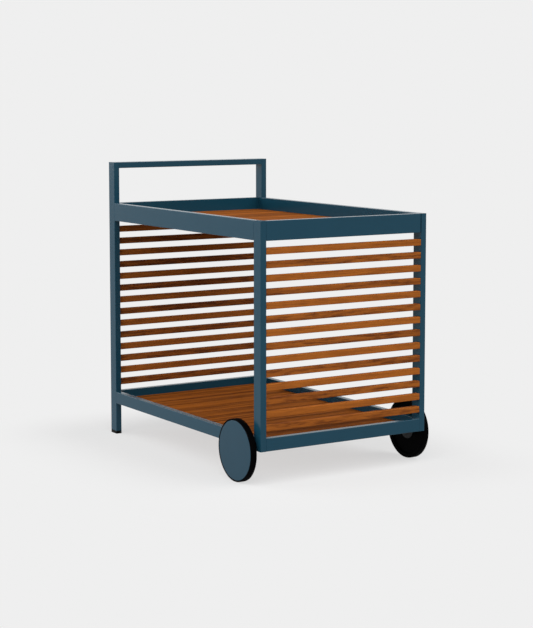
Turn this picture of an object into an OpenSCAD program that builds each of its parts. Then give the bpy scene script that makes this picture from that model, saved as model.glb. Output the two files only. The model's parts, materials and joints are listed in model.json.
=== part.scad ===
// Cheese trolley: a tube frame with a boarded tray on top, a boarded shelf below,
// slatted ends, a handle bar at the rear and two disc wheels at the front.
// Origin: on the floor, in the middle of the frame. +X is the trolley's right side,
// +Y points to the handle end, +Z is up. Millimetres.

/* [Frame] */
// Width over the posts, across the trolley
frame_w = 615; // [450:1:800]
// Length over the posts, from the wheel end to the handle end
frame_l = 986; // [700:1:1300]
// Thickness of every tube, seen from above, and the posts' size across the trolley
tube_t = 20; // [16:1:30]
// Size of the posts and the handle bar along the trolley
post_d = 40; // [30:1:60]
// Wall of the tubes
tube_wall = 2; // [1.5:0.1:3]
// Radius on the long edges of the tubes
edge_r = 1.5; // [0.8:0.1:2.5]

/* [Heights] */
// Height of the four lower rails
low_rail_h = 40; // [30:1:60]
// Clear height between the lower rails and the tray's rim
bay_h = 595; // [450:1:750]
// Height of the four rim rails round the tray
rim_h = 60; // [45:1:90]
// Height of the handle bar's top above the rim
handle_rise = 140; // [90:1:220]
// Height of the handle bar's section
handle_h = 20; // [16:1:35]

/* [Slats] */
// Slats in each end
slat_n = 14; // [8:1:14]
// Height of a slat
slat_h = 20; // [14:1:28]
// Depth of a slat, from its outer face inwards
slat_d = 20; // [12:1:28]
// Diameter of the pin that holds a slat's end
pin_d = 6; // [4:0.5:8]
// Length of the pin inside the slat
pin_in_slat = 15; // [10:1:25]
// Length of the pin inside the post
pin_in_post = 6; // [4:0.5:10]

/* [Boards] */
// Width of a deck board; the last board is cut to what is left
board_w = 79; // [60:1:140]
// Thickness of the deck boards
board_t = 12; // [8:1:16]
// Gap between two boards
board_gap = 2; // [1:0.5:6]
// Gap between the boards and the rails round them
deck_gap = 1; // [0.5:0.5:3]
// Width of the ledges that the boards lie on
ledge_w = 20; // [12:1:40]
// Thickness of the ledges
ledge_t = 2; // [1.5:0.5:4]
// Height of the tray's ledges above the rim's underside
tray_ledge_up = 4; // [0:0.5:20]

/* [Wheels] */
// Diameter over the tyre
wheel_d = 194; // [150:1:240]
// Width of the wheel
wheel_w = 20; // [18:0.5:30]
// Thickness of the tyre
tyre_t = 5; // [3:0.5:12]
// Radius on the tyre's edges
tyre_edge_r = 1.2; // [0.5:0.1:1.5]
// Gap between the frame's side and the wheel
wheel_gap = 6.5; // [4:0.5:20]
// Distance of the axle behind the frame's front face
wheel_back = 108; // [80:1:250]
// Thickness of the cap disc
cap_t = 3; // [2:0.5:4]
// Width of the core's rim under the tyre
core_rim_t = 8; // [4:0.5:15]
// Depth of the core's rim below the tyre's inner edge
rim_inset = 1; // [0.5:0.1:2]
// Thickness of the core's web
web_t = 4.4; // [3:0.2:6]
// Diameter of the core's boss, which the cap's collar grips
boss_d = 48; // [40:1:60]
// Wall of the cap's collar
collar_t = 3; // [2:0.5:5]

/* [Hubs and axle] */
// Diameter of the axle
axle_d = 16; // [12:1:20]
// Gap between the axle and the lower rails above it
axle_gap = 2; // [1:0.5:20]
// Length of the axle's tip outside the clip
tip_l = 1; // [0.8:0.1:1.5]
// Thickness of the snap ring at each end of the axle
clip_t = 1.2; // [0.8:0.1:1.5]
// Width of the snap ring from the axle's surface outwards
clip_w = 3.5; // [2:0.5:4]
// Depth of the snap ring's groove in the axle
groove_in = 1; // [0.5:0.1:1.5]
// Diameter of the hub's barrel
hub_d = 30; // [26:1:36]
// Diameter of the hub's flange on the wheel's inner face
hub_flange_d = 68; // [50:1:90]
// Thickness of the hub's flange
hub_flange_t = 3; // [2:0.5:4]
// Depth of the hub's flange below the wheel's inner face
hub_inset = 3.6; // [1:0.2:5]
// Thickness of the bracket plate under each side rail
bracket_t = 12; // [6:1:16]
// Width of the bracket plate along the rail
bracket_w = 28; // [26:1:50]
// Diameter of the bracket's boss, which keeps the wheel off the frame
bracket_boss_d = 24; // [22:1:26]

/* [Feet] */
// Height of the rear feet below the posts
foot_h = 10; // [5:1:30]
// Depth of the feet and of the plugs inside the posts
plug_in = 20; // [10:1:40]

/* [Fits] */
// Radial clearance of the hub on the axle
run_fit = 0.05; // [0.02:0.01:0.1]
// Radial clearance of the pins in the slats and posts
pin_fit = 0.05; // [0:0.01:0.1]
// End play between the hub and what keeps it in place
end_play = 0.3; // [0.1:0.1:0.6]
// Gap round the cap, inside the tyre
cap_fit = 0.3; // [0.1:0.1:0.8]
// Clearance of a plug in its tube, on each side
plug_fit = 0.1; // [0:0.05:0.3]
// Room between the cap and the axle's tip, and between the collar and the web
cap_room = 0.5; // [0.3:0.1:0.8]
// Room between a pin's tip and the bottom of its hole in the slat
tip_room = 1; // [0.5:0.5:3]

/* [Hidden] */
$fn = 96;

// How far a cutting shape runs past the face that it cuts
over = 1;

// Levels, from the floor up: the frame stands on the axle and on the rear feet
wheel_r = wheel_d / 2;
low_z = wheel_r + axle_d / 2 + axle_gap;
low_top = low_z + low_rail_h;
rim_z = low_top + bay_h;
rim_top = rim_z + rim_h;
handle_top = rim_top + handle_rise;
shelf_ledge_z = low_z;
tray_ledge_z = rim_z + tray_ledge_up;

// Half sizes and inner faces of the frame
half_w = frame_w / 2;
half_l = frame_l / 2;
span_x = frame_w - 2 * tube_t;
span_y = frame_l - 2 * post_d;
deck_l = frame_l - 2 * tube_t;
bore_x = tube_t - 2 * tube_wall;
bore_y = post_d - 2 * tube_wall;

// Slats and pins
slat_gap = (bay_h - slat_n * slat_h) / (slat_n + 1);
slat_pitch = slat_h + slat_gap;
pin_r = pin_d / 2;
pin_hole_r = pin_r + pin_fit;
pin_hole_in = pin_in_slat + tip_room;

// Boards: whole ones from the front, then one cut to the width that is left
run_l = deck_l - 2 * deck_gap;
board_pitch = board_w + board_gap;
whole_boards = floor(run_l / board_pitch);
rest_w = run_l - whole_boards * board_pitch;
has_rest = rest_w > 2 * board_gap;
board_l = span_x - 2 * deck_gap;

// Wheel, measured from its inner face (u = 0) to its outer face (u = wheel_w)
core_r = wheel_r - tyre_t;
wheel_x = half_w + wheel_gap;
axle_y = -half_l + wheel_back;
axle_r = axle_d / 2;
hub_r = hub_d / 2;
boss_r = boss_d / 2;
flange_r = hub_flange_d / 2;
web_u = hub_inset + hub_flange_t;
cap_u = wheel_w - cap_t;
clip_r = axle_r + clip_w;
groove_r = axle_r - groove_in;
tip_u = cap_u - cap_room;
clip_u = tip_u - tip_l - clip_t;
boss_u = clip_u - end_play;
collar_u = web_u + web_t + cap_room;
axle_tip = wheel_x + tip_u;
clip_x = wheel_x + clip_u;
bracket_out = half_w - (tube_t - bracket_t) / 2;

FRAME_BLUE = [0.14, 0.26, 0.32];
CAP_BLUE = [0.22, 0.32, 0.37];
SLAT_BROWN = [0.55, 0.31, 0.14];
BOARD_BROWN = [0.50, 0.29, 0.14];
BLACK = [0.04, 0.04, 0.045];
DARK_GREY = [0.16, 0.18, 0.19];
STEEL = [0.60, 0.61, 0.62];

// ---- Shapes that several pieces share ----

// A rectangle with round corners, its lower left corner at the origin
module round_rect(w, d, r) {
    translate([r, 0]) square([w - 2 * r, d]);
    translate([0, r]) square([w, d - 2 * r]);
    for (x = [r, w - r], y = [r, d - r]) translate([x, y]) circle(r);
}

// The section of a tube
module tube_section(w, d) {
    difference() {
        round_rect(w, d, edge_r);
        translate([tube_wall, tube_wall]) square([w - 2 * tube_wall, d - 2 * tube_wall]);
    }
}

// An open tube along +X from the origin, y by z in section
module tube_x(length, y, z) {
    rotate([90, 0, 90]) linear_extrude(length) tube_section(y, z);
}

// An open tube along +Y from the origin, x by z in section
module tube_y(length, x, z) {
    translate([x, 0, 0]) rotate([90, 0, 180]) linear_extrude(length) tube_section(x, z);
}

// A full bar of round section along X, from x0 to x1
module rod_x(x0, x1, r) {
    translate([x0, 0, 0]) rotate([0, 90, 0]) cylinder(h = x1 - x0, r = r);
}

// Mirrors its child to the left side where side is -1
module on_side(side) {
    mirror([side < 0 ? 1 : 0, 0, 0]) children();
}

// Mirrors its child to the front end where end is -1
module on_end(end) {
    mirror([0, end < 0 ? 1 : 0, 0]) children();
}

// Height of a slat's underside; slat 1 is the lowest
function slat_z(i) = low_top + slat_gap + (i - 1) * slat_pitch;

// ---- Posts ----

// The holes for the slats' pins, in the inner wall of the right rear post
module post_pin_holes() {
    for (i = [1:slat_n])
        translate([0, half_l - slat_d / 2, slat_z(i) + slat_h / 2])
            rod_x(half_w - tube_t - over, half_w - tube_t + tube_wall + over, pin_hole_r);
}

// A right rear post from z0 to z1, open below and closed above by a welded plate
module post(z0, z1) {
    color(FRAME_BLUE) difference() {
        translate([half_w - tube_t, half_l - post_d, z0])
            linear_extrude(z1 - z0) round_rect(tube_t, post_d, edge_r);
        translate([half_w - tube_t + tube_wall, half_l - post_d + tube_wall, z0 - over])
            cube([bore_x, bore_y, z1 - z0 + over - tube_wall]);
        post_pin_holes();
    }
}

module front_left_post() { on_side(-1) on_end(-1) post(low_z, rim_top); }
module front_right_post() { on_side(1) on_end(-1) post(low_z, rim_top); }
module rear_left_post() { on_side(-1) on_end(1) post(foot_h, handle_top); }
module rear_right_post() { on_side(1) on_end(1) post(foot_h, handle_top); }

// The bar between the rear posts, flush with their tops and faces
module handle_bar() {
    color(FRAME_BLUE) translate([-span_x / 2, half_l - post_d, handle_top - handle_h])
        tube_x(span_x, post_d, handle_h);
}

// ---- Rails ----

// A rail across the trolley, flush with the outer face of the rear posts
module end_rail(z, h) {
    color(FRAME_BLUE) translate([-span_x / 2, half_l - tube_t, z]) tube_x(span_x, tube_t, h);
}

// A rail along the right side, between the posts
module side_rail(z, h) {
    color(FRAME_BLUE) translate([half_w - tube_t, -span_y / 2, z]) tube_y(span_y, tube_t, h);
}

module rim_front() { on_end(-1) end_rail(rim_z, rim_h); }
module rim_rear() { on_end(1) end_rail(rim_z, rim_h); }
module rim_left() { on_side(-1) side_rail(rim_z, rim_h); }
module rim_right() { on_side(1) side_rail(rim_z, rim_h); }
module low_rail_front() { on_end(-1) end_rail(low_z, low_rail_h); }
module low_rail_rear() { on_end(1) end_rail(low_z, low_rail_h); }
module low_rail_left() { on_side(-1) side_rail(low_z, low_rail_h); }
module low_rail_right() { on_side(1) side_rail(low_z, low_rail_h); }

// ---- Slatted ends ----

// A slat of the rear end, flush with the posts' outer face, with a blind hole in each end
module slat(i) {
    color(SLAT_BROWN) difference() {
        translate([-span_x / 2, half_l - slat_d, slat_z(i)]) cube([span_x, slat_d, slat_h]);
        translate([0, half_l - slat_d / 2, slat_z(i) + slat_h / 2]) {
            rod_x(-span_x / 2 - over, -span_x / 2 + pin_hole_in, pin_hole_r);
            rod_x(span_x / 2 - pin_hole_in, span_x / 2 + over, pin_hole_r);
        }
    }
}

module front_slat(i) { on_end(-1) slat(i); }
module rear_slat(i) { on_end(1) slat(i); }

// One pin at each slat's end, through the post's inner wall
module slat_pins() {
    color(STEEL) for (side = [-1, 1], end = [-1, 1], i = [1:slat_n])
        on_side(side) on_end(end)
            translate([0, half_l - slat_d / 2, slat_z(i) + slat_h / 2])
                rod_x(span_x / 2 - pin_in_slat, span_x / 2 + pin_in_post, pin_r);
}

// ---- Decks ----

// A deck's boards across the trolley, lying at height z
module deck_boards(z) {
    y0 = -run_l / 2;
    color(BOARD_BROWN) {
        for (i = [0:whole_boards - 1])
            translate([-board_l / 2, y0 + i * board_pitch, z]) cube([board_l, board_w, board_t]);
        if (has_rest)
            translate([-board_l / 2, y0 + whole_boards * board_pitch, z])
                cube([board_l, rest_w, board_t]);
    }
}

// The two ledges along the side rails that a deck's boards lie on
module deck_ledges(z) {
    color(FRAME_BLUE) for (side = [-1, 1]) on_side(side)
        translate([half_w - tube_t - ledge_w, -deck_l / 2, z]) cube([ledge_w, deck_l, ledge_t]);
}

module tray_boards() { deck_boards(tray_ledge_z + ledge_t); }
module tray_ledges() { deck_ledges(tray_ledge_z); }
module shelf_boards() { deck_boards(shelf_ledge_z + ledge_t); }
module shelf_ledges() { deck_ledges(shelf_ledge_z); }

// ---- Axle ----

// Places its child, drawn round the X axis, on the axle's line
module on_axle() {
    translate([0, axle_y, wheel_r]) children();
}

// The groove for the clip at the right end of the axle, as a ring to cut away
module clip_groove() {
    difference() {
        rod_x(clip_x, clip_x + clip_t, axle_r + over);
        rod_x(clip_x - over, clip_x + clip_t + over, groove_r);
    }
}

module axle() {
    color(STEEL) on_axle() difference() {
        rod_x(-axle_tip, axle_tip, axle_r);
        for (side = [-1, 1]) on_side(side) clip_groove();
    }
}

// A plate under each side rail with a boss towards the wheel, bored for the axle
module axle_brackets() {
    color(FRAME_BLUE) for (side = [-1, 1]) on_side(side) on_axle() difference() {
        union() {
            rod_x(bracket_out - bracket_t, bracket_out, bracket_w / 2);
            translate([bracket_out - bracket_t, -bracket_w / 2, 0])
                cube([bracket_t, bracket_w, low_z - wheel_r]);
            rod_x(bracket_out, wheel_x + hub_inset - end_play, bracket_boss_d / 2);
        }
        translate([0, -bracket_w, low_z - wheel_r]) cube([frame_w, 2 * bracket_w, bracket_w]);
        rod_x(bracket_out - bracket_t - over, wheel_x + hub_inset, axle_r);
    }
}

// A snap ring in the groove at each end of the axle
module axle_clips() {
    color(STEEL) for (side = [-1, 1]) on_side(side) on_axle() difference() {
        rod_x(clip_x, clip_x + clip_t, clip_r);
        rod_x(clip_x - over, clip_x + clip_t + over, groove_r);
        translate([clip_x - over, -groove_r / 2, -clip_r - over])
            cube([clip_t + 2 * over, groove_r, clip_r]);
    }
}

// ---- Wheels ----

// Turns a section in (radius, u) round the right wheel's axis
module wheel_turn() {
    on_axle() translate([wheel_x, 0, 0]) rotate([90, 0, 90]) rotate_extrude() children();
}

// The tyre: a flat tread with rounded edges
module tyre() {
    color(BLACK) wheel_turn() {
        translate([core_r, 0]) square([tyre_t - tyre_edge_r, wheel_w]);
        translate([core_r, tyre_edge_r]) square([tyre_t, wheel_w - 2 * tyre_edge_r]);
        for (u = [tyre_edge_r, wheel_w - tyre_edge_r])
            translate([wheel_r - tyre_edge_r, u]) circle(tyre_edge_r);
    }
}

// The core: a rim, a web and a boss in one moulding
module wheel_core() {
    rim_in = core_r - core_rim_t;
    color(BLACK) wheel_turn() {
        translate([rim_in, rim_inset]) square([core_rim_t, cap_u - rim_inset]);
        translate([hub_r, web_u]) square([rim_in - hub_r, web_t]);
        translate([hub_r, web_u]) square([boss_r - hub_r, boss_u - web_u]);
    }
}

// The cap disc: flush with the tyre's outer face, with a collar over the boss
module wheel_cap() {
    color(CAP_BLUE) wheel_turn() {
        translate([0, cap_u]) square([core_r - cap_fit, cap_t]);
        translate([boss_r, collar_u]) square([collar_t, cap_u - collar_u]);
    }
}

// The hub: a flanged sleeve that runs on the axle
module hub() {
    color(DARK_GREY) wheel_turn() {
        bore_r = axle_r + run_fit;
        translate([bore_r, hub_inset]) square([flange_r - bore_r, hub_flange_t]);
        translate([bore_r, hub_inset]) square([hub_r - bore_r, boss_u - hub_inset]);
    }
}

module left_tyre() { on_side(-1) tyre(); }
module right_tyre() { on_side(1) tyre(); }
module left_wheel_core() { on_side(-1) wheel_core(); }
module right_wheel_core() { on_side(1) wheel_core(); }
module left_wheel_cap() { on_side(-1) wheel_cap(); }
module right_wheel_cap() { on_side(1) wheel_cap(); }
module left_hub() { on_side(-1) hub(); }
module right_hub() { on_side(1) hub(); }

// ---- Feet and plugs ----

// A plug that fills the right rear post from height z
module post_plug(z) {
    translate([half_w - tube_t + tube_wall + plug_fit, half_l - post_d + tube_wall + plug_fit, z])
        cube([bore_x - 2 * plug_fit, bore_y - 2 * plug_fit, plug_in]);
}

// The rear feet: a sole as wide as the post and a plug inside it
module rear_feet() {
    color(BLACK) for (side = [-1, 1]) on_side(side) {
        translate([half_w - tube_t, half_l - post_d, 0])
            linear_extrude(foot_h) round_rect(tube_t, post_d, edge_r);
        post_plug(foot_h);
    }
}

// The plugs that close the front posts, flush with their lower ends
module front_post_plugs() {
    color(BLACK) for (side = [-1, 1]) on_side(side) on_end(-1) post_plug(low_z);
}

front_left_post();
front_right_post();
rear_left_post();
rear_right_post();
handle_bar();
rim_front();
rim_rear();
rim_left();
rim_right();
low_rail_front();
low_rail_rear();
low_rail_left();
low_rail_right();
for (i = [1:slat_n]) front_slat(i);
for (i = [1:slat_n]) rear_slat(i);
slat_pins();
tray_boards();
tray_ledges();
shelf_boards();
shelf_ledges();
axle();
axle_brackets();
axle_clips();
rear_feet();
front_post_plugs();
left_tyre();
left_wheel_core();
left_wheel_cap();
left_hub();
right_tyre();
right_wheel_core();
right_wheel_cap();
right_hub();
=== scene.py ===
"""The finished look of a serving trolley: oiled wood, powder-coated tubes, wheels and a plain studio."""

import json
import math

import bmesh
import bpy
from bpy.props import FloatProperty, FloatVectorProperty, IntProperty, PointerProperty
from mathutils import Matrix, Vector


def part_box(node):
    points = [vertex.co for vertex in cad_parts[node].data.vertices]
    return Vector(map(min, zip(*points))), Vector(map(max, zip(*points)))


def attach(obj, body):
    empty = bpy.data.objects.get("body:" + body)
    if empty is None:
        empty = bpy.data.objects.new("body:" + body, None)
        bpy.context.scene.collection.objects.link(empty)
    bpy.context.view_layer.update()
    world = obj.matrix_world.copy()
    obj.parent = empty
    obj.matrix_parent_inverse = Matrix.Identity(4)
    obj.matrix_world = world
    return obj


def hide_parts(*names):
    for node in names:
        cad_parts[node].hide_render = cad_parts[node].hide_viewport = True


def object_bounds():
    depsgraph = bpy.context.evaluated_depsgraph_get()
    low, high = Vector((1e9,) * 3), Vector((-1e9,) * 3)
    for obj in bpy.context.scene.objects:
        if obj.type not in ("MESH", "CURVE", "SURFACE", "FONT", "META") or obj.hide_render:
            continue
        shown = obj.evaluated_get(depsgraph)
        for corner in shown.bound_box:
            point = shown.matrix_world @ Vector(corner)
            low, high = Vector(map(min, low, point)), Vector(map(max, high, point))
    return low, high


bl_info = {
    "name": "Serving Trolley",
    "version": (1, 0, 0),
    "blender": (4, 5, 0),
    "location": "3D View > Sidebar > Trolley",
    "description": "Slats, deck boards, wheels, finishes and studio of a serving trolley",
    "category": "Add Mesh",
}

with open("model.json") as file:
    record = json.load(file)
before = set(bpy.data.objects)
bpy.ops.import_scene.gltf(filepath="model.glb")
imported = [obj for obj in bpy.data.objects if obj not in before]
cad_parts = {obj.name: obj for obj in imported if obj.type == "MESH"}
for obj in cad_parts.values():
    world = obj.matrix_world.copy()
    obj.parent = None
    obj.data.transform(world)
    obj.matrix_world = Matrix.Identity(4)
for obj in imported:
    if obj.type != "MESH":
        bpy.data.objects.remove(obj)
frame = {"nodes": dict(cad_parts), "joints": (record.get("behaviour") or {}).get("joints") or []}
cad_low, cad_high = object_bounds()

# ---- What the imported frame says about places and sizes, in metres ----

SIDES = ("left", "right")
ENDS = ("front", "rear")
SLAT_COUNT = sum(name.startswith("front_slat_") for name in frame["nodes"])
SLAT_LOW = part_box("front_slat_1")[0]
SLAT_PITCH = (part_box("front_slat_2")[0] - SLAT_LOW).z
TRAY_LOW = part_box("tray_boards")[0]
SHELF_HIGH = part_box("shelf_boards")[1]
PAINTED_NODES = [
    name for name in frame["nodes"]
    if name.endswith(("_post", "_ledges", "_brackets")) or name.startswith(("rim_", "low_rail_", "handle_"))
]
STEEL_NODES = ["axle", "axle_clips", "slat_pins"]


def wheel_joint(side):
    """The axis point of a wheel, from the frame's own joint."""
    joint = next(j for j in frame["joints"] if j["name"] == side + "_wheel_spin")
    return Vector(joint["pos_m"])


# ---- The studio ----

# The picture's longer side, its height, in pixels, and the camera's sensor in millimetres
PICTURE_HEIGHT = 628
SENSOR = 36.0
# Each lamp's name, the direction that it shines from (0 is the wheel end, 90 the right side)
# and its height above the horizon, in degrees
LAMPS = (("front_right_lamp", 45, 45), ("front_left_lamp", 315, 45), ("rear_left_lamp", 228, 15))
# How far the floor reaches from its middle, and how far out from the trolley its shadow begins to
# fade, in metres
FLOOR_REACH = 60.0
SHADOW_START = 0.05

# ---- Finishes ----

# The powder coat's specular level, how far its roughness varies, its darkest and lightest tone as
# shares of its colour, how fast its clouds and its grain change (per metre), and the grain's depth
# in metres
PAINT_GLOSS = 0.168
PAINT_UNEVEN = 0.08
PAINT_TONES = (0.93, 1.07)
PAINT_CLOUDS = 9.0
PAINT_GRAIN = 1400.0
PAINT_RELIEF = 0.00004
# The open joint where the front rim meets its right post, drawn as a line of painted shade: its
# width in metres, and its colour as a share of the paint's
JOINT_LINE = 0.0026
JOINT_PAINTED_SHADE_TONE = 0.05
# The wood's specular level, its least roughness and its relief in metres
WOOD_GLOSS = 0.04
WOOD_ROUGHNESS = 0.68
WOOD_RELIEF = 0.00010
# Each plank has its own place in a log of this length and width, in metres
LOG_LENGTH = 9.0
LOG_WIDTH = 5.0
# How fast the grain changes through a plank's thickness, as a share of its pace across the face
THROUGH_SLAT = 0.6
THROUGH_BOARD = 1.5
# How fast the grain's drift, the fibres and the pores change along and across a plank (per metre)
DRIFT_PACE = (2.5, 14.0)
FIBRE_PACE = (26.0, 1100.0)
PORE_PACE = (70.0, 2400.0)
# How far the grain lines drift across a plank, in metres
DRIFT = 0.030
# The noise values at which a pore begins and is full
PORE_STEP = (0.68, 0.76)
# How much the fibres and the pores darken the wood, and their colour as a share of the dark tone
FIBRE_SHADE = 0.14
PORE_SHADE = 0.30
PORE_TONE = 0.7
# The marks in the wood: how fast each changes along and across a plank (per metre), the detail
# and the roughness of its noise, and the noise values at which it begins and is full
WOOD_MARKS = {
    "line": (1.1, 46.0, 5.0, 0.62, 0.45, 0.60),
    "mottle": (15.0, 120.0, 4.0, 0.62, 0.44, 0.63),
    "streak": (7.0, 300.0, 3.0, 0.60, 0.44, 0.64),
}
# How much each mark darkens a plain slat, how much more it darkens a figured slat, and how much
# it darkens a board
PLAIN_SLAT = {"line": 0.10, "mottle": 0.20, "streak": 0.30}
FIGURED_SLAT = {"line": 0.14, "mottle": 0.30}
DECK_BOARD = {"line": 0.62, "mottle": 0.20, "streak": 0.20}
# How much lighter every plank is than its marks alone would make it
PLANK_LIFT = 0.04
# How much darker a figured slat is all over
FIGURED_SHADE = 0.18
# How much painted shade darkens the slats of the rear end, which stand in the shade under the tray, and as
# much again if they are figured
REAR_PAINTED_SHADE = 0.12
# How far the boards differ in tone
BOARD_VARIETY = 0.14
# Painted shade along a board's long edges, beside the gaps between boards: its width in metres, and how
# dark it is
EDGE_WIDTH = 0.004
EDGE_PAINTED_SHADE = 0.5
# Added to the numbers of the rear slats and of the tray's boards, so that no two planks are alike
NEXT_SET = 40.0
# Each dark skin's least roughness, specular level, grain (per metre) and the grain's depth (metres)
DARK_SKINS = {
    "tyre_rubber": (0.62, 0.01, 900.0, 0.00006),
    "core_plastic": (0.55, 0.01, 1500.0, 0.00004),
    "hub_grey": (0.45, 0.12, 1200.0, 0.00004),
    "foot_plastic": (0.50, 0.05, 1300.0, 0.00005),
}
# The skins' darkest and lightest tone as shares of their colour, and how fast their dust changes
# (per metre)
SKIN_TONES = (0.8, 1.3)
SKIN_DUST = 35.0
# The darkest and the lightest zinc
ZINC_TONES = ((0.52, 0.53, 0.54), (0.66, 0.67, 0.68))
# How fast the zinc's turning marks change along and across a bar (per metre), and their depth
# in metres
ZINC_PACE = (1800.0, 40.0)
ZINC_RELIEF = 0.00003

# ---- Modelling ----

# Faces across a rounded edge
EDGE_STEPS = 3
# Points closer together than TOUCHING become one, and those closer to the wheel's axis than
# ON_AXIS lie on it, in metres
TOUCHING = 1e-6
ON_AXIS = 1e-9


# ---- Sizes and colours that a user would change ----


class SlatSettings(bpy.types.PropertyGroup):
    """How the slats of both ends are finished."""

    edge_radius: FloatProperty(
        name="Edge radius", description="Radius on the slats' long edges",
        default=0.0015, min=0.0002, max=0.004, unit="LENGTH")
    light_tone: FloatVectorProperty(
        name="Light tone", description="Wood between the grain lines",
        default=(0.405, 0.122, 0.0190), size=3, min=0, max=1, subtype="COLOR")
    dark_tone: FloatVectorProperty(
        name="Dark tone", description="Wood in the grain lines",
        default=(0.120, 0.032, 0.0090), size=3, min=0, max=1, subtype="COLOR")


class BoardSettings(bpy.types.PropertyGroup):
    """How the tray's and the shelf's boards are cut and finished."""

    board_width: FloatProperty(
        name="Board width", description="Width of a whole deck board",
        default=0.079, min=0.06, max=0.14, unit="LENGTH")
    board_gap: FloatProperty(
        name="Board gap", description="Gap between two deck boards",
        default=0.002, min=0.001, max=0.006, unit="LENGTH")
    edge_radius: FloatProperty(
        name="Edge radius", description="Radius on the boards' edges",
        default=0.0012, min=0.0002, max=0.004, unit="LENGTH")
    light_tone: FloatVectorProperty(
        name="Light tone", description="Wood between the grain lines",
        default=(0.352, 0.101, 0.0115), size=3, min=0, max=1, subtype="COLOR")
    dark_tone: FloatVectorProperty(
        name="Dark tone", description="Wood in the grain lines",
        default=(0.095, 0.026, 0.0055), size=3, min=0, max=1, subtype="COLOR")


class WheelSettings(bpy.types.PropertyGroup):
    """How the wheels' pieces are shaped inside, rounded and coloured."""

    steps: IntProperty(
        name="Steps", description="Faces round a wheel's edge", default=128, min=24, max=256)
    tyre_radius: FloatProperty(
        name="Tyre edge", description="Radius on the tyre's edges",
        default=0.0014, min=0.0002, max=0.003, unit="LENGTH")
    cap_radius: FloatProperty(
        name="Cap edge", description="Radius on the cap disc's edge",
        default=0.0008, min=0.0002, max=0.0014, unit="LENGTH")
    core_radius: FloatProperty(
        name="Core edges", description="Radius on the core's and the hub's edges",
        default=0.0008, min=0.0002, max=0.0014, unit="LENGTH")
    rim_width: FloatProperty(
        name="Rim width", description="Width of the core's rim inside the tyre",
        default=0.008, min=0.004, max=0.015, unit="LENGTH")
    web_thickness: FloatProperty(
        name="Web", description="Thickness of the core's web",
        default=0.0044, min=0.003, max=0.006, unit="LENGTH")
    flange_thickness: FloatProperty(
        name="Flange", description="Thickness of the hub's flange",
        default=0.003, min=0.002, max=0.004, unit="LENGTH")
    boss_radius: FloatProperty(
        name="Boss", description="Radius of the core's boss",
        default=0.024, min=0.02, max=0.03, unit="LENGTH")
    barrel_radius: FloatProperty(
        name="Barrel", description="Radius of the hub's barrel",
        default=0.015, min=0.013, max=0.018, unit="LENGTH")
    collar_wall: FloatProperty(
        name="Collar", description="Wall of the cap's collar",
        default=0.003, min=0.002, max=0.005, unit="LENGTH")
    running_fit: FloatProperty(
        name="Running fit", description="Gap between the hub and the axle, and under the collar",
        default=0.00005, min=0.00002, max=0.0002, unit="LENGTH")
    rubber: FloatVectorProperty(
        name="Rubber", description="Colour of the tyres",
        default=(0.0010, 0.0010, 0.0012), size=3, min=0, max=1, subtype="COLOR")
    hub_grey: FloatVectorProperty(
        name="Hub grey", description="Colour of the hubs",
        default=(0.020, 0.022, 0.024), size=3, min=0, max=1, subtype="COLOR")


class PaintSettings(bpy.types.PropertyGroup):
    """The powder coat on the tubes and the cap discs."""

    frame_colour: FloatVectorProperty(
        name="Frame colour", description="Powder coat of the tubes",
        default=(0.0079, 0.051, 0.084), size=3, min=0, max=1, subtype="COLOR")
    cap_colour: FloatVectorProperty(
        name="Cap colour", description="Powder coat of the cap discs",
        default=(0.0074, 0.045, 0.075), size=3, min=0, max=1, subtype="COLOR")
    roughness: FloatProperty(
        name="Roughness", description="Roughness of the powder coat", default=0.17, min=0, max=1)


class StageSettings(bpy.types.PropertyGroup):
    """The studio: camera, lamps, background and floor."""

    camera_azimuth: FloatProperty(
        name="Camera azimuth", description="Direction of the view round the trolley",
        default=math.radians(32.194), subtype="ANGLE")
    camera_pitch: FloatProperty(
        name="Camera pitch", description="How far the camera looks down",
        default=math.radians(6.036), subtype="ANGLE")
    camera_distance: FloatProperty(
        name="Camera distance", description="From the aim point to the camera",
        default=5.578, min=1, unit="LENGTH")
    aim: FloatVectorProperty(
        name="Aim point", description="Point that the camera's axis passes through",
        default=(0.0274, 0.0069, 0.5934), size=3, subtype="TRANSLATION")
    focal_pixels: FloatProperty(
        name="Focal length", description="In pixels of the picture", default=1679.5, min=100)
    centre_row: FloatProperty(
        name="Centre row", description="Picture row of the camera's axis", default=270.0)
    backdrop: FloatProperty(
        name="Backdrop", description="Brightness of the background and the floor",
        default=0.863, min=0, max=1)
    ambient: FloatProperty(
        name="Ambient", description="Light from all round", default=0.0, min=0, max=2)
    floor_bounce: FloatProperty(
        name="Floor bounce", description="Light that the floor gives back to the trolley",
        default=0.36, min=0, max=1)
    lamp_spread: FloatProperty(
        name="Lamp spread", description="Angle that each soft lamp fills",
        default=math.radians(60), subtype="ANGLE")
    front_right_lamp: FloatProperty(
        name="Front right lamp", description="Strength of this soft lamp", default=2.15, min=0, max=5)
    front_left_lamp: FloatProperty(
        name="Front left lamp", description="Strength of this soft lamp", default=2.05, min=0, max=5)
    rear_left_lamp: FloatProperty(
        name="Rear left lamp", description="Strength of this low soft lamp", default=2.4, min=0, max=5)
    shadow: FloatProperty(
        name="Shadow", description="How much of the shadow the floor shows", default=0.30, min=0, max=1)
    shadow_reach: FloatProperty(
        name="Shadow reach", description="How far out from the trolley the floor shows its shadow",
        default=0.45, min=0.1, unit="LENGTH")


class TrolleySettings(bpy.types.PropertyGroup):
    """All settings of the trolley."""

    slats: PointerProperty(type=SlatSettings)
    boards: PointerProperty(type=BoardSettings)
    wheels: PointerProperty(type=WheelSettings)
    paint: PointerProperty(type=PaintSettings)
    stage: PointerProperty(type=StageSettings)


# ---- Shader maths ----


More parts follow.
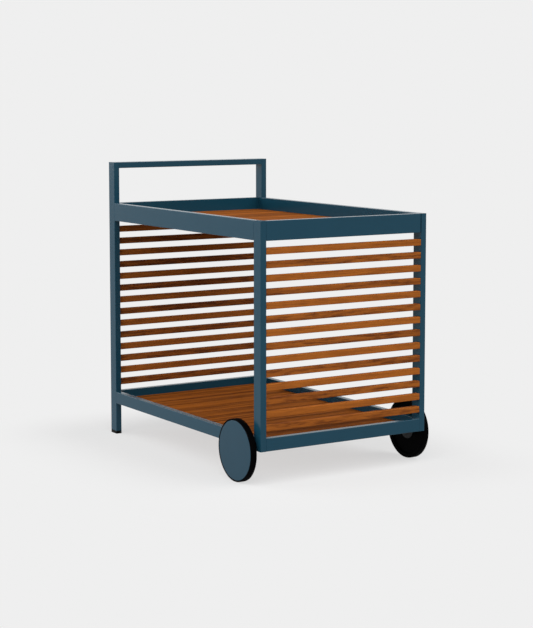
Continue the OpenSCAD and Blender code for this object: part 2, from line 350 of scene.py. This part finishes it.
class Wire:
    """A value in a material's node tree that takes part in Python arithmetic."""

    def __init__(self, shader, socket):
        self.shader = shader
        self.socket = socket

    def __add__(self, other):
        return self.shader.math("ADD", self, other)

    def __radd__(self, other):
        return self.shader.math("ADD", other, self)

    def __sub__(self, other):
        return self.shader.math("SUBTRACT", self, other)

    def __rsub__(self, other):
        return self.shader.math("SUBTRACT", other, self)

    def __mul__(self, other):
        return self.shader.math("MULTIPLY", self, other)

    def __rmul__(self, other):
        return self.shader.math("MULTIPLY", other, self)

    def __truediv__(self, other):
        return self.shader.math("DIVIDE", self, other)

    def __rtruediv__(self, other):
        return self.shader.math("DIVIDE", other, self)


class Shader:
    """The node tree of a material or the world, with one method that adds any node."""

    def __init__(self, owner):
        owner.use_nodes = True
        self.tree = owner.node_tree
        self.tree.nodes.clear()

    def node(self, kind, settings=(), inputs=(), output=0):
        """Adds a node, sets it up, fills its sockets and gives one of its outputs."""
        node = self.tree.nodes.new("ShaderNode" + kind)
        for name, value in dict(settings).items():
            setattr(node, name, value)
        for name, value in dict(inputs).items():
            self.fill(self.find(node.inputs, name), value)
        return Wire(self, self.find(node.outputs, output)) if node.outputs else None

    @staticmethod
    def find(sockets, name):
        """A socket by its place or by its name, past those that the node's settings switch off."""
        if isinstance(name, int):
            return sockets[name]
        return next(s for s in sockets if s.name == name and s.enabled)

    def fill(self, socket, value):
        """Links a socket to a wire, or sets it to a plain value."""
        if isinstance(value, Wire):
            self.tree.links.new(value.socket, socket)
        else:
            socket.default_value = value

    def math(self, operation, *values):
        return self.node("Math", {"operation": operation}, enumerate(values))

    def floor(self, value):
        return self.math("FLOOR", value)

    def clamp(self, value):
        return self.node("Clamp", (), {"Value": value})

    def smooth(self, value, low, high):
        """0 below low, 1 above high and a soft step between."""
        span = {"From Min": low, "From Max": high}
        return self.node("MapRange", {"interpolation_type": "SMOOTHSTEP"}, {"Value": value, **span})

    def place(self):
        """The point's X, Y and Z in the trolley's frame, in metres."""
        point = self.node("TexCoord", output="Object")
        return [self.node("SeparateXYZ", (), {"Vector": point}, axis) for axis in "XYZ"]

    def vector(self, x, y, z):
        return self.node("CombineXYZ", (), {"X": x, "Y": y, "Z": z})

    def noise(self, point, scale, detail, roughness=0.5):
        inputs = {"Vector": point, "Scale": scale, "Detail": detail, "Roughness": roughness}
        return self.node("TexNoise", (), inputs, "Fac")

    def mix(self, factor, first, second):
        """A colour between two colours."""
        return self.node(
            "Mix", {"data_type": "RGBA"}, {"Factor": factor, "A": first, "B": second}, "Result")

    def tones(self, factor, base, shares):
        """A colour between two shades of one colour."""
        return self.mix(factor, *[scaled(base, share) for share in shares])

    def bump(self, height, strength, distance):
        return self.node("Bump", (), {"Height": height, "Strength": strength, "Distance": distance})

    def surface(self, **sockets):
        """A principled surface, with sockets given by their names in small letters."""
        filled = {}
        for name, value in sockets.items():
            filled[name.replace("_", " ").title().replace("Ior", "IOR")] = value
        return self.node("BsdfPrincipled", (), filled)

    def output(self, surface):
        """Makes a shader the material's surface."""
        self.node("OutputMaterial", (), {"Surface": surface})


def colour(values):
    """Three colour values as the four that a socket holds."""
    return (*values, 1.0)


def scaled(values, share):
    """A darker or lighter shade of a colour."""
    return colour([value * share for value in values])


# ---- Materials ----


def powder_coat(name, base, roughness, joint=None):
    """Fine satin powder coat: an even colour with a faint cloud and a grained skin. joint is the X
    where a rail's right end meets its post in an open joint, drawn as a dark line of painted shade."""
    material = bpy.data.materials.new(name)
    shader = Shader(material)
    point = shader.node("TexCoord", output="Object")
    cloud = shader.noise(point, PAINT_CLOUDS, detail=3.0)
    skin = shader.noise(point, PAINT_GRAIN, detail=2.0, roughness=0.6)
    coat = shader.surface(
        base_color=shader.tones(cloud, base, PAINT_TONES),
        roughness=roughness - PAINT_UNEVEN / 2 + skin * PAINT_UNEVEN,
        specular_ior_level=PAINT_GLOSS,
        normal=shader.bump(skin, strength=0.25, distance=PAINT_RELIEF),
    )
    if joint is not None:
        # Painted shade: a dark band at the rim's end stands for the shade inside the open joint
        line = shader.math("GREATER_THAN", shader.place()[0], joint - JOINT_LINE)
        dark = shader.node("BsdfDiffuse", (), {"Color": scaled(base, JOINT_PAINTED_SHADE_TONE)})
        coat = shader.node("MixShader", (), {0: line, 1: coat, 2: dark})
    shader.output(coat)
    return material


def grain_noise(shader, point, pace, detail, roughness=0.5):
    """Noise stretched along one axis. pace is how fast it changes along and across that axis."""
    along, across, deep = point
    slow, fast = pace
    stretched = shader.vector(along * slow, across * fast, deep * fast)
    return shader.noise(stretched, 1.0, detail, roughness)


def weighed(marks, weights):
    """The sum of a plank's marks, each with its weight."""
    first, *others = [marks[name] * weight for name, weight in weights.items()]
    return sum(others, first)


def oiled_wood(name, tones, number, heart, figure):
    """Oiled hardwood with its grain along X. number tells the planks apart, heart gives a point's
    Y and Z in the log that its plank was sawn from, and figure tells how dark a point is."""
    material = bpy.data.materials.new(name)
    shader = Shader(material)
    x, y, z = shader.place()
    plank = number(shader, y, z)
    chance = shader.node(
        "TexWhiteNoise", {"noise_dimensions": "1D"}, {"W": plank}, "Color")
    lucky = [shader.node("SeparateXYZ", (), {"Vector": chance}, axis) for axis in "XYZ"]
    along = x + lucky[0] * LOG_LENGTH
    across, deep = heart(y, z)
    across = across + lucky[1] * LOG_WIDTH
    deep = deep + lucky[2] * LOG_WIDTH
    straight = (along, across, deep)

    drift = grain_noise(shader, straight, DRIFT_PACE, detail=2.0)
    drifting = (along, across + drift * DRIFT, deep)
    marks = {}
    for mark, (slow, fast, detail, roughness, start, full) in WOOD_MARKS.items():
        value = grain_noise(shader, drifting, (slow, fast), detail, roughness)
        marks[mark] = shader.smooth(value, start, full)
    fibres = grain_noise(shader, straight, FIBRE_PACE, detail=3.0, roughness=0.6)
    pores = shader.smooth(grain_noise(shader, straight, PORE_PACE, detail=0.0), *PORE_STEP)

    light, dark = tones
    shade = figure(shader, plank, lucky, marks, y)
    wood = shader.mix(shader.clamp(shade), colour(light), colour(dark))
    wood = shader.mix(fibres * FIBRE_SHADE + pores * PORE_SHADE, wood, scaled(dark, PORE_TONE))
    relief = fibres * 0.5 - pores - marks["line"] * 0.3
    shader.output(shader.surface(
        base_color=wood,
        roughness=WOOD_ROUGHNESS + marks["line"] * 0.06 + fibres * 0.14,
        specular_ior_level=WOOD_GLOSS,
        normal=shader.bump(relief, strength=0.35, distance=WOOD_RELIEF),
    ))
    return material


def slat_number(shader, y, z):
    """A number for each slat, also different at the two ends."""
    row = shader.floor((z - (SLAT_LOW.z - SLAT_PITCH / 4)) / SLAT_PITCH)
    return row + shader.math("GREATER_THAN", y, 0.0) * NEXT_SET


def slat_heart(y, z):
    """A slat's height and depth as the Y and Z of its log."""
    return z, y * THROUGH_SLAT


def slat_figure(shader, plank, lucky, marks, y):
    """How dark a slat is at a point. Every other slat is figured, and the rear ones are darkened with
    painted shade.
    """
    figured = shader.math("MODULO", plank + 1.0, 2.0)
    rear = shader.math("GREATER_THAN", y, 0.0)
    # Painted shade: the rear slats are darker all over, for the shade under the tray
    plain = weighed(marks, PLAIN_SLAT) + rear * REAR_PAINTED_SHADE - PLANK_LIFT
    more = weighed(marks, FIGURED_SLAT) + rear * REAR_PAINTED_SHADE + FIGURED_SHADE
    return plain + figured * more


def boards_before(settings, y):
    """How many boards lie before a point, counted from the deck's front edge."""
    return (y - TRAY_LOW.y + settings.board_gap / 2) / (settings.board_width + settings.board_gap)


def board_number(settings):
    """A function that gives a number for each board, also different in the tray and the shelf."""

    def number(shader, y, z):
        row = shader.floor(boards_before(settings, y))
        return row + shader.math("GREATER_THAN", z, (SHELF_HIGH.z + TRAY_LOW.z) / 2) * NEXT_SET

    return number


def board_heart(y, z):
    """A board's width and thickness as the Y and Z of its log."""
    return y, z * THROUGH_BOARD


def board_figure(settings):
    """A function that tells how dark a board is at a point. Its long edges are darkened with painted shade,
    beside the gaps between boards.
    """
    pitch = settings.board_width + settings.board_gap

    def figure(shader, plank, lucky, marks, y):
        place = shader.math("FRACT", boards_before(settings, y))
        off_centre = shader.math("ABSOLUTE", place - 0.5) * pitch
        half = settings.board_width / 2
        # Painted shade: the wood darkens towards each long edge, for the shade in the gaps between boards
        edge = shader.smooth(off_centre, half - EDGE_WIDTH, half)
        return weighed(marks, DECK_BOARD) + edge * EDGE_PAINTED_SHADE + lucky[1] * BOARD_VARIETY - PLANK_LIFT

    return figure


def dark_skin(name, base):
    """Rubber or moulded plastic, black or dark grey, with a fine grain."""
    roughness, gloss, grain, depth = DARK_SKINS[name]
    material = bpy.data.materials.new(name)
    shader = Shader(material)
    point = shader.node("TexCoord", output="Object")
    skin = shader.noise(point, grain, detail=2.0)
    dust = shader.noise(point, SKIN_DUST, detail=4.0)
    shader.output(shader.surface(
        base_color=shader.tones(dust, base, SKIN_TONES),
        roughness=roughness + dust * 0.12,
        specular_ior_level=gloss,
        normal=shader.bump(skin, strength=0.3, distance=depth),
    ))
    return material


def zinc_steel(name):
    """Bright zinc plate with fine turning marks."""
    material = bpy.data.materials.new(name)
    shader = Shader(material)
    x, y, z = shader.place()
    marks = grain_noise(shader, (x, y, z), ZINC_PACE, detail=2.0)
    shader.output(shader.surface(
        base_color=shader.mix(marks, *map(colour, ZINC_TONES)),
        metallic=1.0,
        roughness=0.28 + marks * 0.12,
        normal=shader.bump(marks, strength=0.2, distance=ZINC_RELIEF),
    ))
    return material


def floor_paint(settings):
    """The pale floor: it shows a share of the trolley's shadow near the trolley, and farther out it
    is as bright as the background."""
    material = bpy.data.materials.new("studio_floor")
    shader = Shader(material)
    x, y, _ = shader.place()
    beside = shader.math("MAXIMUM", shader.math("ABSOLUTE", x) - cad_high.x, 0.0)
    beyond = shader.math("MAXIMUM", shader.math("ABSOLUTE", y) - cad_high.y, 0.0)
    away = shader.math("SQRT", beside * beside + beyond * beyond)
    far = shader.smooth(away, SHADOW_START, settings.shadow_reach)
    # What falls on level ground, so that the lit floor is as bright as the background
    shares = [getattr(settings, name) * math.sin(math.radians(height)) for name, _, height in LAMPS]
    light = settings.ambient + sum(shares) / math.pi
    lit = shader.node("BsdfDiffuse", (), {"Color": colour([settings.backdrop / light] * 3)})
    even = shader.node("Emission", (), {"Color": colour([settings.backdrop] * 3), "Strength": 1.0})
    share = 1.0 - (1.0 - far) * settings.shadow
    seen = shader.node("MixShader", (), {0: share, 1: lit, 2: even})
    bounced = shader.node("Emission", (), {"Color": colour([settings.floor_bounce] * 3), "Strength": 1.0})
    diffuse = shader.node("LightPath", output="Is Diffuse Ray")
    both = shader.node("MixShader", (), {0: diffuse, 1: seen, 2: bounced})
    shader.output(both)
    return material


# ---- Modelling helpers ----


def add_piece(name, bm, material):
    """Turns a bmesh into a smooth piece in the trolley's frame."""
    mesh = bpy.data.meshes.new(name)
    bm.to_mesh(mesh)
    bm.free()
    for polygon in mesh.polygons:
        polygon.use_smooth = True
    mesh.materials.append(material)
    piece = bpy.data.objects.new(name, mesh)
    bpy.context.scene.collection.objects.link(piece)
    return piece


def add_block(bm, low, high, radius):
    """A block between two corners with all its edges rounded."""
    made = bmesh.ops.create_cube(bm, size=1.0)["verts"]
    bmesh.ops.scale(bm, vec=high - low, verts=made)
    bmesh.ops.translate(bm, vec=(low + high) / 2, verts=made)
    edges = list({edge for vert in made for edge in vert.link_edges})
    bmesh.ops.bevel(
        bm, geom=edges, offset=radius, offset_type="OFFSET", affect="EDGES",
        segments=EDGE_STEPS, profile=0.5, material=-1)


def even_normals(piece):
    """Lets a piece's large faces look flat and only its rounded edges turn the light."""
    modifier = piece.modifiers.new("even_normals", "WEIGHTED_NORMAL")
    modifier.weight = 100
    modifier.keep_sharp = True


def wheel_face(side):
    """The point on the wheel's axis in the plane of its inner face."""
    low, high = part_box(f"{side}_tyre")
    centre = wheel_joint(side)
    return Vector((high.x if side == "left" else low.x, centre.y, centre.z))


def wheel_span(side, part):
    """A wheel part's start and end, measured outwards from the wheel's inner face, and its radius."""
    face = wheel_face(side)
    low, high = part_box(f"{side}_{part}")
    ends = sorted(abs(value - face.x) for value in (low.x, high.x))
    return ends[0], ends[1], (high.z - low.z) / 2


def turned(outline, radius, side, steps):
    """A closed piece turned round the wheel's axis. outline holds each corner's distance from the
    axis and from the wheel's inner face, and the corners off the axis are rounded."""
    outward = -1.0 if side == "left" else 1.0
    bm = bmesh.new()
    verts = [bm.verts.new((u, 0.0, r)) for r, u in outline]
    bm.faces.new(verts)
    corners = [vert for vert in verts if vert.co.z > 0.0]
    bmesh.ops.bevel(
        bm, geom=corners, offset=radius, offset_type="OFFSET", affect="VERTICES",
        segments=EDGE_STEPS, profile=0.5, material=-1)
    bmesh.ops.delete(bm, geom=bm.faces[:], context="FACES_ONLY")
    on_axis = [e for e in bm.edges if all(abs(v.co.z) < ON_AXIS for v in e.verts)]
    bmesh.ops.delete(bm, geom=on_axis, context="EDGES")
    bmesh.ops.spin(
        bm, geom=bm.verts[:] + bm.edges[:], cent=(0, 0, 0), axis=(1, 0, 0),
        angle=math.tau, steps=steps, use_merge=True)
    bmesh.ops.remove_doubles(bm, verts=bm.verts[:], dist=TOUCHING)
    bmesh.ops.scale(bm, vec=(outward, 1.0, 1.0), verts=bm.verts[:])
    bmesh.ops.translate(bm, vec=wheel_face(side), verts=bm.verts[:])
    bmesh.ops.recalc_face_normals(bm, faces=bm.faces[:])
    return bm


def paint_node(name, material):
    """Gives a node of the frame its finish."""
    node = frame["nodes"][name]
    node.data.materials.clear()
    node.data.materials.append(material)


def settle(piece, body, slot, *nodes):
    """Puts a piece on its body in place of the frame's plain solids."""
    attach(piece, body)
    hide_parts(*nodes)


# ---- Operators: one for each group of like pieces ----


class TROLLEY_OT_paint_tubes(bpy.types.Operator):
    """Powder coat on the posts, rails, handle, ledges and axle brackets"""

    bl_idname = "trolley.paint_tubes"
    bl_label = "Paint Tubes"

    def execute(self, context):
        paint = context.scene.trolley.paint
        coat = powder_coat("frame_powder_coat", paint.frame_colour, paint.roughness)
        for name in PAINTED_NODES:
            paint_node(name, coat)
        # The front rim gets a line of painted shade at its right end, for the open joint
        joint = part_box("rim_front")[1].x
        joint_shaded = powder_coat("jointed_powder_coat", paint.frame_colour, paint.roughness, joint)
        paint_node("rim_front", joint_shaded)
        return {"FINISHED"}


class TROLLEY_OT_plate_steel(bpy.types.Operator):
    """Zinc plate on the axle, its clips and the slats' pins"""

    bl_idname = "trolley.plate_steel"
    bl_label = "Plate Steel"

    def execute(self, context):
        steel = zinc_steel("zinc_plate")
        for name in STEEL_NODES:
            paint_node(name, steel)
        return {"FINISHED"}


class TROLLEY_OT_add_slats(bpy.types.Operator):
    """The slats of both ends, with rounded edges and their own grain"""

    bl_idname = "trolley.add_slats"
    bl_label = "Add Slats"

    def execute(self, context):
        slats = context.scene.trolley.slats
        wood = oiled_wood(
            "slat_oiled_wood", (slats.light_tone, slats.dark_tone), slat_number, slat_heart, slat_figure)
        for end in ENDS:
            for index in range(1, SLAT_COUNT + 1):
                node = f"{end}_slat_{index}"
                low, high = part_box(node)
                bm = bmesh.new()
                add_block(bm, low, high, slats.edge_radius)
                piece = add_piece(f"{node}_wood", bm, wood)
                even_normals(piece)
                settle(piece, "frame", "slat_wood", node)
        return {"FINISHED"}


class TROLLEY_OT_add_boards(bpy.types.Operator):
    """The boards of the tray and the shelf, laid across the trolley"""

    bl_idname = "trolley.add_boards"
    bl_label = "Add Boards"

    def execute(self, context):
        boards = context.scene.trolley.boards
        wood = oiled_wood(
            "board_oiled_wood", (boards.light_tone, boards.dark_tone),
            board_number(boards), board_heart, board_figure(boards))
        for deck in ("tray", "shelf"):
            low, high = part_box(f"{deck}_boards")
            bm = bmesh.new()
            start = low.y
            while start < high.y - boards.edge_radius:
                stop = min(start + boards.board_width, high.y)
                near = Vector((low.x, start, low.z))
                far = Vector((high.x, stop, high.z))
                add_block(bm, near, far, boards.edge_radius)
                start = stop + boards.board_gap
            piece = add_piece(f"{deck}_boards_wood", bm, wood)
            even_normals(piece)
            settle(piece, "frame", "board_wood", f"{deck}_boards")
        return {"FINISHED"}


class TROLLEY_OT_add_tyres(bpy.types.Operator):
    """The flat black tyres"""

    bl_idname = "trolley.add_tyres"
    bl_label = "Add Tyres"

    def execute(self, context):
        wheels = context.scene.trolley.wheels
        rubber = dark_skin("tyre_rubber", wheels.rubber)
        for side in SIDES:
            inner, outer, radius = wheel_span(side, "tyre")
            core = wheel_span(side, "wheel_core")[2]
            outline = [(core, inner), (radius, inner), (radius, outer), (core, outer)]
            bm = turned(outline, wheels.tyre_radius, side, wheels.steps)
            piece = add_piece(f"{side}_tyre_rubber", bm, rubber)
            even_normals(piece)
            settle(piece, f"{side}_wheel", "tyre_rubber", f"{side}_tyre")
        return {"FINISHED"}


class TROLLEY_OT_add_cores(bpy.types.Operator):
    """The black wheel cores: a rim, a web and a boss"""

    bl_idname = "trolley.add_cores"
    bl_label = "Add Wheel Cores"

    def execute(self, context):
        wheels = context.scene.trolley.wheels
        plastic = dark_skin("core_plastic", wheels.rubber)
        for side in SIDES:
            inner, outer, radius = wheel_span(side, "wheel_core")
            hub_inner, hub_outer, _ = wheel_span(side, "hub")
            rim = radius - wheels.rim_width
            web = hub_inner + wheels.flange_thickness
            back = web + wheels.web_thickness
            outline = [
                (radius, inner), (radius, outer), (rim, outer), (rim, back), (wheels.boss_radius, back),
                (wheels.boss_radius, hub_outer), (wheels.barrel_radius, hub_outer),
                (wheels.barrel_radius, web), (rim, web), (rim, inner)]
            piece = add_piece(
                f"{side}_core_moulding", turned(outline, wheels.core_radius, side, wheels.steps), plastic)
            even_normals(piece)
            settle(piece, f"{side}_wheel", "core_plastic", f"{side}_wheel_core")
        return {"FINISHED"}


class TROLLEY_OT_add_caps(bpy.types.Operator):
    """The flat blue discs that close the wheels"""

    bl_idname = "trolley.add_caps"
    bl_label = "Add Wheel Caps"

    def execute(self, context):
        paint = context.scene.trolley.paint
        coat = powder_coat("cap_powder_coat", paint.cap_colour, paint.roughness)
        wheels = context.scene.trolley.wheels
        for side in SIDES:
            inner, outer, radius = wheel_span(side, "wheel_cap")
            disc = wheel_span(side, "wheel_core")[1]
            collar_in = wheels.boss_radius + wheels.running_fit
            collar_out = wheels.boss_radius + wheels.collar_wall
            outline = [
                (0.0, disc), (collar_in, disc), (collar_in, inner), (collar_out, inner),
                (collar_out, disc), (radius, disc), (radius, outer), (0.0, outer)]
            piece = add_piece(
                f"{side}_cap_disc", turned(outline, wheels.cap_radius, side, wheels.steps), coat)
            even_normals(piece)
            settle(piece, f"{side}_wheel", "cap_paint", f"{side}_wheel_cap")
        return {"FINISHED"}


class TROLLEY_OT_add_hubs(bpy.types.Operator):
    """The dark grey hubs"""

    bl_idname = "trolley.add_hubs"
    bl_label = "Add Hubs"

    def execute(self, context):
        wheels = context.scene.trolley.wheels
        grey = dark_skin("hub_grey", wheels.hub_grey)
        axle_low, axle_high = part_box("axle")
        bore = (axle_high.z - axle_low.z) / 2 + wheels.running_fit
        for side in SIDES:
            inner, outer, flange = wheel_span(side, "hub")
            back = inner + wheels.flange_thickness
            outline = [
                (bore, inner), (flange, inner), (flange, back), (wheels.barrel_radius, back),
                (wheels.barrel_radius, outer), (bore, outer)]
            piece = add_piece(
                f"{side}_hub_sleeve", turned(outline, wheels.core_radius, side, wheels.steps), grey)
            even_normals(piece)
            settle(piece, f"{side}_wheel", "hub_metal", f"{side}_hub")
        return {"FINISHED"}


class TROLLEY_OT_add_feet(bpy.types.Operator):
    """The black feet and the plugs of the front posts"""

    bl_idname = "trolley.add_feet"
    bl_label = "Add Feet"

    def execute(self, context):
        wheels = context.scene.trolley.wheels
        plastic = dark_skin("foot_plastic", wheels.rubber)
        for name in ("rear_feet", "front_post_plugs"):
            paint_node(name, plastic)
        return {"FINISHED"}


class TROLLEY_OT_set_stage(bpy.types.Operator):
    """Camera, lamps, pale background and floor"""

    bl_idname = "trolley.set_stage"
    bl_label = "Set Stage"

    def execute(self, context):
        stage = context.scene.trolley.stage
        self.add_camera(context, stage)
        self.add_light(context, stage)
        self.add_floor(context, stage)
        context.scene.view_settings.view_transform = "Standard"
        return {"FINISHED"}

    def add_camera(self, context, stage):
        """The camera, shifted so that its axis meets the picture at the centre row."""
        turn, pitch = stage.camera_azimuth, stage.camera_pitch
        level = math.cos(pitch)
        ahead = Vector((math.sin(turn) * level, math.cos(turn) * level, -math.sin(pitch)))
        data = bpy.data.cameras.new("camera")
        data.sensor_width = SENSOR
        data.lens = stage.focal_pixels * SENSOR / PICTURE_HEIGHT
        data.shift_y = (stage.centre_row - PICTURE_HEIGHT / 2) / PICTURE_HEIGHT
        camera = bpy.data.objects.new("camera", data)
        camera.location = Vector(stage.aim) - ahead * stage.camera_distance
        camera.rotation_euler = ahead.to_track_quat("-Z", "Y").to_euler()
        context.scene.collection.objects.link(camera)
        context.scene.camera = camera

    def add_light(self, context, stage):
        """The soft lamps, and a world that is seen as the backdrop and lights as the ambient."""
        for name, azimuth, height in LAMPS:
            turn, rise = math.radians(azimuth), math.radians(height)
            data = bpy.data.lights.new(name, "SUN")
            data.energy = getattr(stage, name)
            data.angle = stage.lamp_spread
            lamp = bpy.data.objects.new(name, data)
            towards = Vector((
                -math.sin(turn) * math.cos(rise), math.cos(turn) * math.cos(rise), -math.sin(rise)))
            lamp.rotation_euler = towards.to_track_quat("-Z", "Y").to_euler()
            context.scene.collection.objects.link(lamp)
        world = bpy.data.worlds.new("studio")
        context.scene.world = world
        shader = Shader(world)
        seen = shader.clamp(
            shader.node("LightPath", output="Is Camera Ray")
            + shader.node("LightPath", output="Is Glossy Ray")
            + shader.node("LightPath", output="Is Transmission Ray"))
        plain = colour([stage.backdrop] * 3)
        light = colour([stage.ambient] * 3)
        back = shader.node("Background", (), {"Color": shader.mix(seen, light, plain), "Strength": 1.0})
        shader.node("OutputWorld", (), {"Surface": back})

    def add_floor(self, context, stage):
        """The floor, which belongs to the studio and not to the trolley."""
        bm = bmesh.new()
        bmesh.ops.create_grid(bm, x_segments=1, y_segments=1, size=FLOOR_REACH)
        floor = add_piece("floor", bm, floor_paint(stage))


class TROLLEY_PT_panel(bpy.types.Panel):
    """The trolley's pieces and settings"""

    bl_idname = "TROLLEY_PT_panel"
    bl_label = "Serving Trolley"
    bl_space_type = "VIEW_3D"
    bl_region_type = "UI"
    bl_category = "Trolley"

    def draw(self, context):
        for operator in OPERATORS:
            self.layout.operator(operator.bl_idname)
        trolley = context.scene.trolley
        for group in (trolley.slats, trolley.boards, trolley.wheels, trolley.paint, trolley.stage):
            box = self.layout.box()
            for name in group.__annotations__:
                box.prop(group, name)


GROUPS = (SlatSettings, BoardSettings, WheelSettings, PaintSettings, StageSettings, TrolleySettings)
OPERATORS = (
    TROLLEY_OT_set_stage,
    TROLLEY_OT_paint_tubes,
    TROLLEY_OT_plate_steel,
    TROLLEY_OT_add_slats,
    TROLLEY_OT_add_boards,
    TROLLEY_OT_add_tyres,
    TROLLEY_OT_add_cores,
    TROLLEY_OT_add_caps,
    TROLLEY_OT_add_hubs,
    TROLLEY_OT_add_feet,
)


def register():
    for cls in (*GROUPS, *OPERATORS, TROLLEY_PT_panel):
        bpy.utils.register_class(cls)
    bpy.types.Scene.trolley = PointerProperty(type=TrolleySettings)


def unregister():
    del bpy.types.Scene.trolley
    for cls in reversed((*GROUPS, *OPERATORS, TROLLEY_PT_panel)):
        bpy.utils.unregister_class(cls)


def main():
    """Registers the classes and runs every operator."""
    register()
    for operator in OPERATORS:
        group, name = operator.bl_idname.split(".")
        getattr(getattr(bpy.ops, group), name)()


if __name__ == "__main__":
    main()
